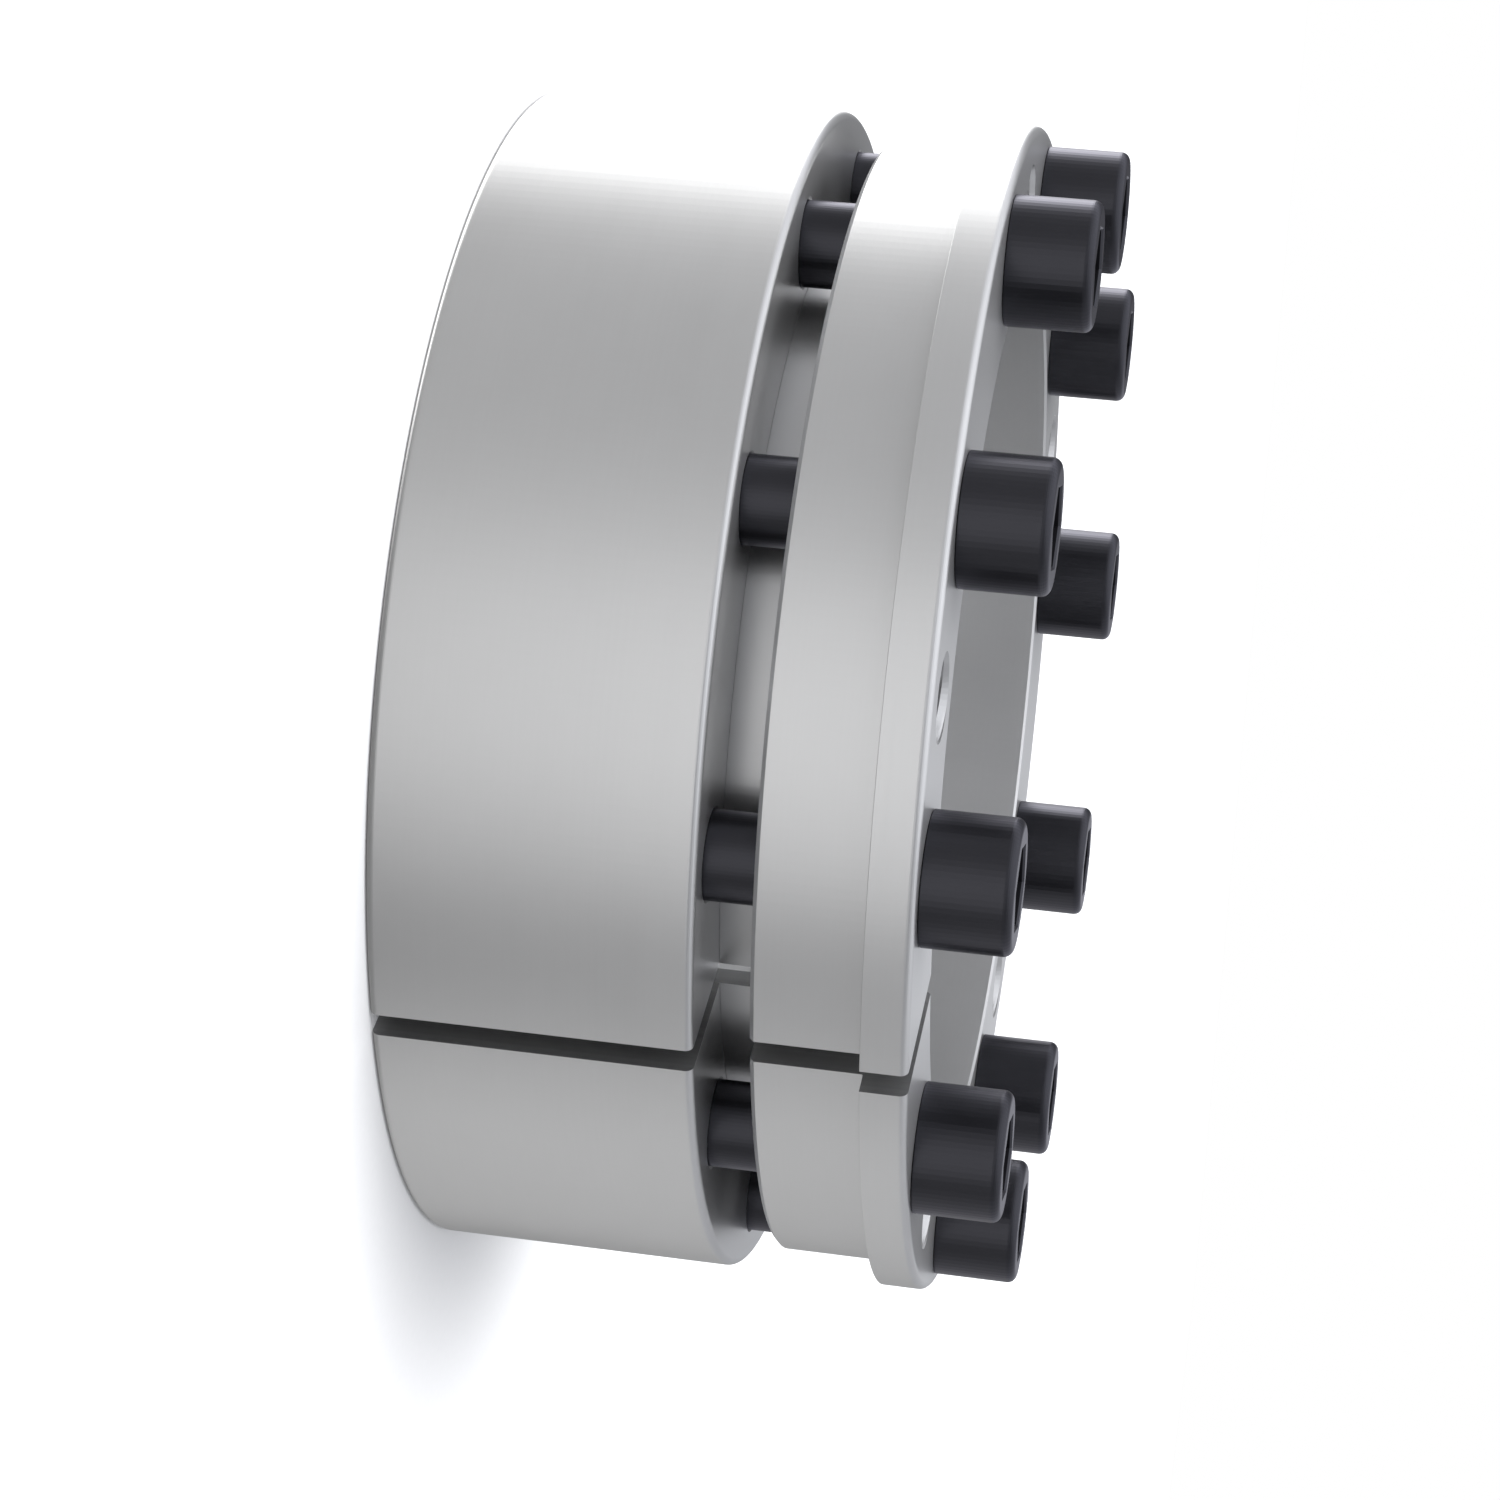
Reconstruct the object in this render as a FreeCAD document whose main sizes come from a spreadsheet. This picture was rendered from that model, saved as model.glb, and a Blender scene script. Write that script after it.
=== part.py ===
import FreeCAD
import Part
import Sketcher
import os

# Keyless locking assembly for a 150 mm shaft in a 200 mm hub bore.
# Two slit steel rings meet on a slow cone. Ten cap screws stand in the flange of the inner
# ring and are tapped into the outer ring: tightening them draws the outer ring up the cone,
# so the inner ring closes on the shaft and the outer ring opens against the hub.
# The rings stand on the outer ring's rear face, with +Z towards the screw heads, and both
# slits lie along +X. The rings are shown as they arrive, before the screws are tightened.

doc = FreeCAD.newDocument("LockingAssembly")
sizes = doc.addObject("Spreadsheet::Sheet", "Sizes")

DRIVING_SIZES = [
    ("shaft_diameter", 150.0, "bore of the inner ring, which takes the shaft"),
    ("section_height", 25.0, "from the shaft to the hub bore, along a radius"),
    ("outer_width", 50.6, "outer ring, face to face"),
    ("gap_width", 8.0, "open gap between outer ring and flange before tightening"),
    ("neck_width", 17.6, "flange, length of the neck that may enter the hub bore"),
    ("neck_step", 4.0, "how far the neck lies under the hub bore, along a radius"),
    ("rim_width", 7.4, "flange, length of the rim under the screw heads"),
    ("mouth_wall", 3.5, "from the shaft to the outer ring's cone at its wide end, along a radius"),
    ("cone_angle", 2.0, "slope of the cones against the axis, in degrees"),
    ("tight_clearance", 0.02, "radial play left between the cones when they are tight"),
    ("rear_recess", 2.5, "how far the inner ring's thin end stays inside the rear face"),
    ("slit_width", 4.0, "slit through each ring"),
    ("edge_break", 0.8, "broken outer edges of the outer ring and of the rim"),
    ("neck_chamfer", 0.5, "chamfer on the flange's rear edge"),
    ("bore_chamfer", 0.6, "chamfer at the front end of the shaft bore"),
    ("screw_count", 10, "clamp screws, evenly spaced, none on the slit"),
    ("thread_diameter", 14.0, "clamp screw, outside of the thread and of the plain shank"),
    ("thread_pitch", 2.0, "clamp screw, travel for each turn"),
    ("turns_to_tight", 1.0, "turns of each screw from here until the cones are tight"),
    ("tip_recess", 3.6, "how far the screw tips stay inside the rear face"),
    ("head_diameter", 21.0, "clamp screw head"),
    ("head_height", 14.0, "clamp screw head"),
    ("socket_size", 12.0, "hexagon socket, across flats"),
    ("socket_depth", 7.0, "hexagon socket, depth of its flats"),
    ("thread_play", 0.05, "radial play between thread crest and tapped hole"),
    ("through_play", 0.5, "radial play of the shank in the flange"),
    ("jack_core_diameter", 12.0, "core of the jacking threads that push the rings apart"),
]
for row, (alias, value, meaning) in enumerate(DRIVING_SIZES, start=1):
    sizes.set(f"A{row}", meaning)
    sizes.set(f"B{row}", str(value))
    sizes.setAlias(f"B{row}", alias)
doc.recompute()

NO_OFFSET = 1e-9  # mm, below this a point lies on the sketch axis
SAME_PLACE = 1e-4  # mm, an edge this near a wanted radius and height is the one meant

# Heights above the rear face and radii, each worked out from the driving sizes
SLOPE = "tan(Sizes.cone_angle)"
FLANGE_REAR = "(Sizes.outer_width + Sizes.gap_width)"
RIM_REAR = f"({FLANGE_REAR} + Sizes.neck_width)"
SCREW_SEAT = f"({RIM_REAR} + Sizes.rim_width)"
SCREW_LENGTH = f"({SCREW_SEAT} - Sizes.tip_recess)"
SHAFT_RADIUS = "(Sizes.shaft_diameter / 2)"
HUB_RADIUS = f"({SHAFT_RADIUS} + Sizes.section_height)"
SCREW_CIRCLE_RADIUS = f"({SHAFT_RADIUS} + Sizes.section_height / 2)"
NECK_RADIUS = f"({HUB_RADIUS} - Sizes.neck_step)"
CONE_MOUTH = f"({SHAFT_RADIUS} + Sizes.mouth_wall)"
CONE_THROAT = f"({CONE_MOUTH} - Sizes.outer_width * {SLOPE})"
DRAW_TRAVEL = "(Sizes.thread_pitch * Sizes.turns_to_tight)"
CONE_PLAY = f"({DRAW_TRAVEL} * {SLOPE} + Sizes.tight_clearance)"
HALF_SLIT = "(Sizes.slit_width / 2)"
FIRST_SCREW_ANGLE = "(180 / Sizes.screw_count)"
FIRST_JACK_ANGLE = "(360 / Sizes.screw_count)"
THREAD_RADIUS = "(Sizes.thread_diameter / 2)"
CORNER_OF_SOCKET = "(Sizes.socket_size / sqrt(3))"


def inner_cone_radius(height):
    """Radius of the inner ring's cone at a height, as an expression."""
    return f"({CONE_MOUTH} - {CONE_PLAY} + ({height} - Sizes.outer_width) * {SLOPE})"


def measure(expression):
    """Present value of an expression in sheet sizes."""
    result = sizes.evalExpression(expression)
    return float(getattr(result, "Value", result))


def new_sketch(body, name, plane_role):
    """Empty sketch on one of the body's own origin planes."""
    sketch = body.newObject("Sketcher::SketchObject", name)
    plane = next(item for item in body.Origin.OriginFeatures if item.Role == plane_role)
    sketch.AttachmentSupport = [(plane, "")]
    sketch.MapMode = "FlatFace"
    return sketch


def bind_distance(sketch, kind, geometry, vertex, expression):
    """Hold one coordinate of a vertex at an expression, whichever side of the axis it is."""
    origin, origin_vertex = -1, 1
    axis = -2 if kind == "DistanceX" else -1
    value = measure(expression)
    if abs(value) < NO_OFFSET:
        sketch.addConstraint(Sketcher.Constraint("PointOnObject", geometry, vertex, axis))
        return
    ends = (origin, origin_vertex, geometry, vertex)
    if value < 0:
        ends = (geometry, vertex, origin, origin_vertex)
        expression = f"-({expression})"
    index = sketch.addConstraint(Sketcher.Constraint(kind, *ends, abs(value)))
    sketch.setExpression(f"Constraints[{index}]", expression)


def outline(sketch, corners):
    """Closed outline of straight runs; each corner is a pair of expressions."""
    points = [FreeCAD.Vector(measure(u), measure(v), 0) for u, v in corners]
    for start, end in zip(points, points[1:] + points[:1]):
        sketch.addGeometry(Part.LineSegment(start, end), False)
    for index in range(len(corners)):
        following = (index + 1) % len(corners)
        sketch.addConstraint(Sketcher.Constraint("Coincident", index, 2, following, 1))
    for index, (u, v) in enumerate(corners):
        bind_distance(sketch, "DistanceX", index, 1, u)
        bind_distance(sketch, "DistanceY", index, 1, v)
    doc.recompute()


def turned(body, name, corners):
    """Solid of revolution about Z from an outline of radius and height pairs."""
    sketch = new_sketch(body, f"{name}Section", "XZ_Plane")
    outline(sketch, corners)
    feature = body.newObject("PartDesign::Revolution", name)
    feature.Profile = sketch
    feature.ReferenceAxis = (sketch, ["V_Axis"])
    feature.Angle = 360
    doc.recompute()
    return feature


def pocket_through(body, sketch, name):
    """Cut a sketch right through the body, both ways from its plane."""
    before = body.Shape.Volume
    feature = body.newObject("PartDesign::Pocket", name)
    feature.Profile = sketch
    feature.Type = "ThroughAll"
    feature.Midplane = True
    doc.recompute()
    if body.Shape.Volume >= before:
        raise RuntimeError(f"{body.Label}: {name} cuts nothing")
    return feature


def cut_slit(body):
    """Slit from the bore outwards along +X."""
    sketch = new_sketch(body, "SlitSection", "XY_Plane")
    beyond = f"({HUB_RADIUS} + Sizes.slit_width)"
    outline(sketch, [
        ("0", f"-{HALF_SLIT}"),
        (beyond, f"-{HALF_SLIT}"),
        (beyond, HALF_SLIT),
        ("0", HALF_SLIT),
    ])
    return pocket_through(body, sketch, "Slit")


def cut_hole_circle(body, name, radius, first_angle, count, step_angle):
    """Ring of through holes on the screw circle."""
    sketch = new_sketch(body, f"{name}Section", "XY_Plane")
    across = f"({SCREW_CIRCLE_RADIUS} * cos({first_angle}))"
    along = f"({SCREW_CIRCLE_RADIUS} * sin({first_angle}))"
    centre = FreeCAD.Vector(measure(across), measure(along), 0)
    normal = FreeCAD.Vector(0, 0, 1)
    sketch.addGeometry(Part.Circle(centre, normal, measure(radius)), False)
    bind_distance(sketch, "DistanceX", 0, 3, across)
    bind_distance(sketch, "DistanceY", 0, 3, along)
    index = sketch.addConstraint(Sketcher.Constraint("Radius", 0, measure(radius)))
    sketch.setExpression(f"Constraints[{index}]", radius)
    doc.recompute()
    hole = pocket_through(body, sketch, name)
    one_hole = body.Shape.Volume
    pattern = body.newObject("PartDesign::PolarPattern", f"{name}Pattern")
    pattern.Originals = [hole]
    pattern.Axis = (sketch, ["N_Axis"])
    pattern.Mode = "Spacing"
    pattern.setExpression("Offset", step_angle)
    pattern.Occurrences = count
    body.Tip = pattern
    doc.recompute()
    if body.Shape.Volume >= one_hole:
        raise RuntimeError(f"{body.Label}: {name} is not repeated")
    return pattern


def round_edges(shape, radius, heights):
    """Names of the shape's circular edges of a radius that lie flat at given heights."""
    names = []
    for index, edge in enumerate(shape.Edges, start=1):
        if not isinstance(edge.Curve, Part.Circle):
            continue
        same_radius = abs(edge.Curve.Radius - radius) < SAME_PLACE
        height = edge.Curve.Center.z
        same_height = any(abs(height - wanted) < SAME_PLACE for wanted in heights)
        if same_radius and same_height:
            names.append(f"Edge{index}")
    if not names:
        raise RuntimeError(f"no edge of radius {radius} at {heights}")
    return names


def break_edges(body, name, radius, heights, size):
    """Chamfer on the body's round edges of a radius at given heights."""
    base = body.Tip
    names = round_edges(base.Shape, measure(radius), [measure(item) for item in heights])
    feature = body.newObject("PartDesign::Chamfer", name)
    feature.Base = (base, names)
    feature.setExpression("Size", size)
    doc.recompute()
    return feature


def new_body(label):
    body = doc.addObject("PartDesign::Body", label)
    body.Label = label
    return body


def make_outer_ring():
    """Cylinder with a slow internal cone, wide end towards the flange."""
    body = new_body("outer_ring")
    turned(body, "Blank", [
        (CONE_THROAT, "0"),
        (HUB_RADIUS, "0"),
        (HUB_RADIUS, "Sizes.outer_width"),
        (CONE_MOUTH, "Sizes.outer_width"),
    ])
    break_edges(body, "OuterEdges", HUB_RADIUS, ["0", "Sizes.outer_width"], "Sizes.edge_break")
    cut_hole_circle(body, "TappedHoles", f"({THREAD_RADIUS} + Sizes.thread_play)",
                    FIRST_SCREW_ANGLE, int(sizes.screw_count), "360 / Sizes.screw_count")
    cut_slit(body)
    return body


def make_inner_ring():
    """Thin sleeve with an outside cone, in one piece with a stepped flange."""
    body = new_body("inner_ring")
    turned(body, "Blank", [
        (SHAFT_RADIUS, "Sizes.rear_recess"),
        (inner_cone_radius("Sizes.rear_recess"), "Sizes.rear_recess"),
        (inner_cone_radius(FLANGE_REAR), FLANGE_REAR),
        (NECK_RADIUS, FLANGE_REAR),
        (NECK_RADIUS, RIM_REAR),
        (HUB_RADIUS, RIM_REAR),
        (HUB_RADIUS, SCREW_SEAT),
        (SHAFT_RADIUS, SCREW_SEAT),
    ])
    break_edges(body, "NeckEdge", NECK_RADIUS, [FLANGE_REAR], "Sizes.neck_chamfer")
    break_edges(body, "RimEdge", HUB_RADIUS, [SCREW_SEAT], "Sizes.edge_break")
    break_edges(body, "BoreEdge", SHAFT_RADIUS, [SCREW_SEAT], "Sizes.bore_chamfer")
    screw_count = int(sizes.screw_count)
    cut_hole_circle(body, "ScrewHoles", f"({THREAD_RADIUS} + Sizes.through_play)",
                    FIRST_SCREW_ANGLE, screw_count, "360 / Sizes.screw_count")
    cut_hole_circle(body, "JackingHoles", "(Sizes.jack_core_diameter / 2)",
                    FIRST_JACK_ANGLE, screw_count // 2, "720 / Sizes.screw_count")
    cut_slit(body)
    return body


def make_clamp_screw(number):
    """Socket-head cap screw, seated under its head on the rim of the flange."""
    body = new_body(f"clamp_screw_{number:02d}")
    head_radius = "(Sizes.head_diameter / 2)"
    turned(body, "Blank", [
        ("0", "Sizes.head_height"),
        (head_radius, "Sizes.head_height"),
        (head_radius, "0"),
        (THREAD_RADIUS, "0"),
        (THREAD_RADIUS, f"-{SCREW_LENGTH}"),
        ("0", f"-{SCREW_LENGTH}"),
    ])
    sketch = new_sketch(body, "SocketSection", "XY_Plane")
    sketch.setExpression("AttachmentOffset.Base.z", "Sizes.head_height")
    half_flat = "(Sizes.socket_size / 2)"
    half_side = f"({CORNER_OF_SOCKET} / 2)"
    outline(sketch, [
        ("0", CORNER_OF_SOCKET),
        (f"-{half_flat}", half_side),
        (f"-{half_flat}", f"-{half_side}"),
        ("0", f"-{CORNER_OF_SOCKET}"),
        (half_flat, f"-{half_side}"),
        (half_flat, half_side),
    ])
    before = body.Shape.Volume
    socket = body.newObject("PartDesign::Pocket", "Socket")
    socket.Profile = sketch
    socket.setExpression("Length", "Sizes.socket_depth")
    doc.recompute()
    if body.Shape.Volume >= before:
        raise RuntimeError(f"{body.Label}: the socket cuts nothing")
    steps = 2 * number - 1
    angle = f"({FIRST_SCREW_ANGLE} * {steps})"
    body.setExpression("Placement.Base.x", f"{SCREW_CIRCLE_RADIUS} * cos({angle})")
    body.setExpression("Placement.Base.y", f"{SCREW_CIRCLE_RADIUS} * sin({angle})")
    body.setExpression("Placement.Base.z", SCREW_SEAT)
    doc.recompute()
    return body


pieces = [make_outer_ring(), make_inner_ring()]
for number in range(1, int(sizes.screw_count) + 1):
    pieces.append(make_clamp_screw(number))
doc.recompute()

for item in doc.Objects:
    if "Invalid" in item.State or "Error" in item.State:
        raise RuntimeError(f"{item.Label} failed: {item.State}")
for piece in pieces:
    if piece.Shape.isNull() or not piece.Shape.isValid() or len(piece.Shape.Solids) != 1:
        raise RuntimeError(f"{piece.Label} is not one valid solid")

os.makedirs("parts", exist_ok=True)
for piece in pieces:
    piece.Shape.exportStep(f"parts/{piece.Label}.step")
    box = piece.Shape.BoundBox
    print(f"{piece.Label}: {piece.Shape.Volume / 1000:.1f} cm3,"
          f" z {box.ZMin:.2f} to {box.ZMax:.2f} mm")
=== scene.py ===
# %% [markdown]
# Keyless locking assembly
# This lesson dresses a locking assembly: two slit steel rings that meet on a slow cone, drawn
# together by ten black cap screws. The measured solids come packed as a frame. Here they get
# their rounded edges, threads and finishes, and nothing changes size.
# The assembly stands on the rear face of its outer ring, with +Z towards the screw heads and
# both slits along +X. Blender works in metres, the sizes below in millimetres.

# %% Load the frame and keep its box
import math

import bpy
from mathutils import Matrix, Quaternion, Vector


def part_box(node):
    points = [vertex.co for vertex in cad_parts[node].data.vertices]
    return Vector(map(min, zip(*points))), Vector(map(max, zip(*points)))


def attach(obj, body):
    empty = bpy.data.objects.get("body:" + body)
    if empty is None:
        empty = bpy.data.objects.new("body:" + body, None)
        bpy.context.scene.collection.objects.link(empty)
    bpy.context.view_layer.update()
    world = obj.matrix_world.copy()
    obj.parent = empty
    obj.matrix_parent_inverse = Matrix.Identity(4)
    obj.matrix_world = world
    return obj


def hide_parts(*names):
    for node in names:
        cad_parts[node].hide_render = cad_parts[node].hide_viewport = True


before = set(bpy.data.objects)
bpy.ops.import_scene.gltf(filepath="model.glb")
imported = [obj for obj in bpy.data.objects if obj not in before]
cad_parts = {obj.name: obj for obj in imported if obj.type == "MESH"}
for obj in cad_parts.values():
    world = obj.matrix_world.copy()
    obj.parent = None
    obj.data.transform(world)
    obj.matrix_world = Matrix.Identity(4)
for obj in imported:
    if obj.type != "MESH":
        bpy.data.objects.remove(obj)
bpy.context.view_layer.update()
MM = 0.001
print("nodes:", ", ".join(sorted(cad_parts)))

# %% [markdown]
# Reading sizes off the solids
# A dressing that repeats every number by hand goes wrong as soon as one of them changes. The
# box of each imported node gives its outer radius, its heights and its place, so those are
# measured. Only what a box can't tell, such as a bore or a step, is written down.

# %% Measure the rings and the screws
def in_mm(node):
    """Lowest and highest corner of a node, in millimetres."""
    low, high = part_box(node)
    return Vector(low) / MM, Vector(high) / MM


outer_low, outer_high = in_mm("outer_ring")
inner_low, inner_high = in_mm("inner_ring")
screw_low, screw_high = in_mm("clamp_screw_01")

HUB_RADIUS = min(outer_high.x, -outer_low.x)
OUTER_FACE = outer_high.z
SLEEVE_END = inner_low.z
SEAT = inner_high.z
TIP = screw_low.z
HEAD_TOP = screw_high.z
HEAD_RADIUS = (screw_high.x - screw_low.x) / 2
print(f"hub radius {HUB_RADIUS:.2f}, outer face {OUTER_FACE:.2f}, seat {SEAT:.2f} mm")
print(f"screws from {TIP:.2f} to {HEAD_TOP:.2f} mm, head radius {HEAD_RADIUS:.2f} mm")

# %% Sizes that a box doesn't show
SHAFT_RADIUS = 75.0
NECK_RADIUS = 96.0
FLANGE_REAR = 58.6
RIM_REAR = 76.2
CONE_MOUTH = 78.5
CONE_SLOPE = math.tan(math.radians(2.0))
CONE_PLAY = 0.09
SCREW_CIRCLE = 87.5
SCREW_COUNT = 10
FIRST_SCREW = math.radians(18.0)
FIRST_JACK = math.radians(36.0)
SLIT_WIDTH = 4.0
SHANK_RADIUS = 7.0
CLEARANCE_RADIUS = 7.5
JACK_RADIUS = 6.0
SOCKET_FLAT = 12.0
SOCKET_DEPTH = 7.0
PITCH = 2.0
print(f"{SCREW_COUNT} screws on a circle of {2 * SCREW_CIRCLE:.0f} mm")

# %% [markdown]
# One helper for every node
# Shader trees and geometry trees are built from the same parts: a node, its settings, and what
# goes into its sockets. A single helper that takes either a value or another node for each
# socket keeps the trees below readable from top to bottom. Sockets go by name, or by number
# where a name comes twice: a Mix node mixes numbers from sockets 2 and 3, colours from 6 and 7.

# %% Add a node with its settings and links
def add_node(tree, kind, inputs=None, **settings):
    """New node; an input is a value, a socket, or a node whose first output in use is meant."""
    node = tree.nodes.new(kind)
    for name, value in settings.items():
        setattr(node, name, value)
    for key, value in (inputs or {}).items():
        if isinstance(value, bpy.types.Node):
            value = next(socket for socket in value.outputs if socket.enabled)
        if isinstance(value, bpy.types.NodeSocket):
            tree.links.new(value, node.inputs[key])
        else:
            node.inputs[key].default_value = value
    return node


def linear(hex_colour):
    """Linear RGBA of an sRGB hex colour."""
    channels = [int(hex_colour[i:i + 2], 16) / 255 for i in (1, 3, 5)]
    light = [c / 12.92 if c <= 0.04045 else ((c + 0.055) / 1.055) ** 2.4 for c in channels]
    return light + [1.0]


print("mid grey is", [round(c, 3) for c in linear("#808080")])

# %% [markdown]
# Finish of the rings
# The rings are bare carbon steel, turned on a lathe with a fine feed and lightly oiled. The eye
# gets a pale neutral grey with a satin gloss: reflections are soft-edged but still tell light
# from dark. The tool leaves a fine groove for each turn, which makes circles on the faces and
# hoops on the cylinders. One noise, read on radius and height, gives both at once. The real feed
# is about 0.1 mm, too fine to show, so it is drawn about 0.6 mm wide and shallow.
# Oil and the floors of the grooves scatter a little of the light, so the metal isn't quite
# full: without that share the hollows of the part go black.
# The slits are sawn after turning. Their walls are rougher, with marks about 1 mm apart across the
# cut, and darker: partly the sawn finish, partly painted shade of the narrow slit. On that side of
# the part nothing else lies within half a slit of the plane through the slits, so the material
# finds those walls by its own coordinates.

# %% Material: fine-turned carbon steel
def new_material(name):
    """Material with an empty tree, and that tree."""
    material = bpy.data.materials.new(name)
    material.use_nodes = True
    material.node_tree.nodes.clear()
    return material, material.node_tree


ring_steel, tree = new_material("fine_turned_carbon_steel")
place = add_node(tree, "ShaderNodeTexCoord").outputs["Object"]
flat = add_node(tree, "ShaderNodeVectorMath", {0: place, 1: (1.0, 1.0, 0.0)}, operation="MULTIPLY")
radius = add_node(tree, "ShaderNodeVectorMath", {0: flat}, operation="LENGTH").outputs["Value"]
axes = add_node(tree, "ShaderNodeSeparateXYZ", {0: place}).outputs
on_section = add_node(tree, "ShaderNodeCombineXYZ", {"X": radius, "Y": axes["Z"]})

FEED = 0.6 * MM
SMUDGE = 35.0 * MM
GRAIN = 0.35 * MM
GROOVE_DEPTH = 0.01 * MM
feed = add_node(tree, "ShaderNodeTexNoise",
                {"Vector": on_section, "Scale": 1 / FEED, "Detail": 2.0, "Roughness": 0.6},
                noise_dimensions="2D")
smudge = add_node(tree, "ShaderNodeTexNoise",
                  {"Vector": place, "Scale": 1 / SMUDGE, "Detail": 3.0, "Roughness": 0.55})
grain = add_node(tree, "ShaderNodeTexNoise",
                 {"Vector": place, "Scale": 1 / GRAIN, "Detail": 1.0, "Roughness": 0.5})
tone = add_node(tree, "ShaderNodeMix",
                {0: smudge, 6: linear("#cbcbcb"), 7: linear("#d3d3d3")}, data_type="RGBA")
groove_tone = add_node(tree, "ShaderNodeMapRange",
                       {"Value": feed, "To Min": 0.99, "To Max": 1.01})
turned_tone = add_node(tree, "ShaderNodeVectorMath", {0: tone, "Scale": groove_tone},
                       operation="SCALE")
gloss = add_node(tree, "ShaderNodeMapRange", {"Value": smudge, "To Min": 0.29, "To Max": 0.35})
groove_gloss = add_node(tree, "ShaderNodeMapRange",
                        {"Value": feed, "To Min": -0.02, "To Max": 0.02})
turned_gloss = add_node(tree, "ShaderNodeMath", {0: gloss, 1: groove_gloss}, operation="ADD")
turned_relief = add_node(tree, "ShaderNodeMath", {0: grain, 1: 0.3, 2: feed},
                         operation="MULTIPLY_ADD")
print("the tool's grooves are drawn", round(FEED / MM, 2), "mm apart")

# %% The sawn walls of the slits in the same material, darkened with painted shade
SAW_MARK = 1.0 * MM
HALF_SLIT = SLIT_WIDTH / 2 * MM
from_plane = add_node(tree, "ShaderNodeMath", {0: axes["Y"]}, operation="ABSOLUTE")
within = add_node(tree, "ShaderNodeMapRange", {
    "Value": from_plane, "From Min": HALF_SLIT + 0.03 * MM, "From Max": HALF_SLIT + 0.01 * MM,
})
beside = add_node(tree, "ShaderNodeMath", {0: axes["X"], 1: 0.0}, operation="GREATER_THAN")
sawn_and_shaded_walls = add_node(tree, "ShaderNodeMath", {0: within, 1: beside}, operation="MULTIPLY")
across = add_node(tree, "ShaderNodeCombineXYZ", {"X": axes["X"]})
mark = add_node(tree, "ShaderNodeTexNoise",
                {"Vector": across, "Scale": 1 / SAW_MARK, "Detail": 2.0, "Roughness": 0.5})
# Darker grey of the slit walls: partly the sawn finish, partly painted shade of the narrow slit
sawn_tone_and_painted_shade = add_node(tree, "ShaderNodeMix",
                    {0: mark, 6: linear("#858585"), 7: linear("#a6a6a6")}, data_type="RGBA")
colour = add_node(tree, "ShaderNodeMix", {0: sawn_and_shaded_walls, 6: turned_tone, 7: sawn_tone_and_painted_shade},
                  data_type="RGBA")
gloss = add_node(tree, "ShaderNodeMix", {0: sawn_and_shaded_walls, 2: turned_gloss, 3: 0.5})
relief = add_node(tree, "ShaderNodeMix", {0: sawn_and_shaded_walls, 2: turned_relief, 3: mark})
bump = add_node(tree, "ShaderNodeBump",
                {"Strength": 0.12, "Distance": GROOVE_DEPTH, "Height": relief})
shader = add_node(tree, "ShaderNodeBsdfPrincipled",
                  {"Base Color": colour, "Roughness": gloss, "Metallic": 0.86, "Normal": bump})
add_node(tree, "ShaderNodeOutputMaterial", {"Surface": shader})
print("made", ring_steel.name)

# %% [markdown]
# Finish of the screws
# Cap screws of the strongest class come with a black oxide coat, dipped in oil. The coat is a
# dark iron oxide grown out of the steel, so it follows the forged and rolled surface under it.
# The eye gets a near-black with a breath of violet, dull where it faces you and brighter at a
# glancing angle. That is how a thin oxide over metal behaves: a dark, nearly metallic base
# under a weak coat of oil. A fine grain breaks the gloss, as in the blasted surface below.

# %% Material: oiled black oxide on steel
screw_steel, tree = new_material("oiled_black_oxide_steel")
place = add_node(tree, "ShaderNodeTexCoord").outputs["Object"]
PELLET = 0.5 * MM
PELLET_DEPTH = 0.01 * MM
OIL_PATCH = 12.0 * MM
pellet = add_node(tree, "ShaderNodeTexNoise",
                  {"Vector": place, "Scale": 1 / PELLET, "Detail": 2.0, "Roughness": 0.6})
patch = add_node(tree, "ShaderNodeTexNoise",
                 {"Vector": place, "Scale": 1 / OIL_PATCH, "Detail": 3.0, "Roughness": 0.6})
colour = add_node(tree, "ShaderNodeMix",
                  {0: patch, 6: linear("#3b3b40"), 7: linear("#404045")}, data_type="RGBA")
gloss = add_node(tree, "ShaderNodeMapRange", {"Value": patch, "To Min": 0.31, "To Max": 0.35})
bump = add_node(tree, "ShaderNodeBump",
                {"Strength": 0.05, "Distance": PELLET_DEPTH, "Height": pellet})
shader = add_node(tree, "ShaderNodeBsdfPrincipled", {
    "Base Color": colour,
    "Roughness": gloss,
    "Metallic": 0.92,
    "Specular Tint": linear("#f8f7ff"),
    "Coat Weight": 0.1,
    "Coat Roughness": 0.3,
    "Normal": bump,
})
add_node(tree, "ShaderNodeOutputMaterial", {"Surface": shader})
print("made", screw_steel.name)

# %% [markdown]
# Half sections
# Everything here is turned, drilled or rolled, so each piece is told by half of its section: a
# list of corners, each with a radius from the axis, a height, and how round the corner is. A
# lathe leaves no knife edges, and a rounded edge is what catches the light, so every rounding
# becomes an arc. A holding point on each side of an arc keeps the flat beside it flat when the
# surface is shaded smooth.

# %% Turn corners into a half section
ARC_STEPS = 8
HOLD = 0.2


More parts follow.
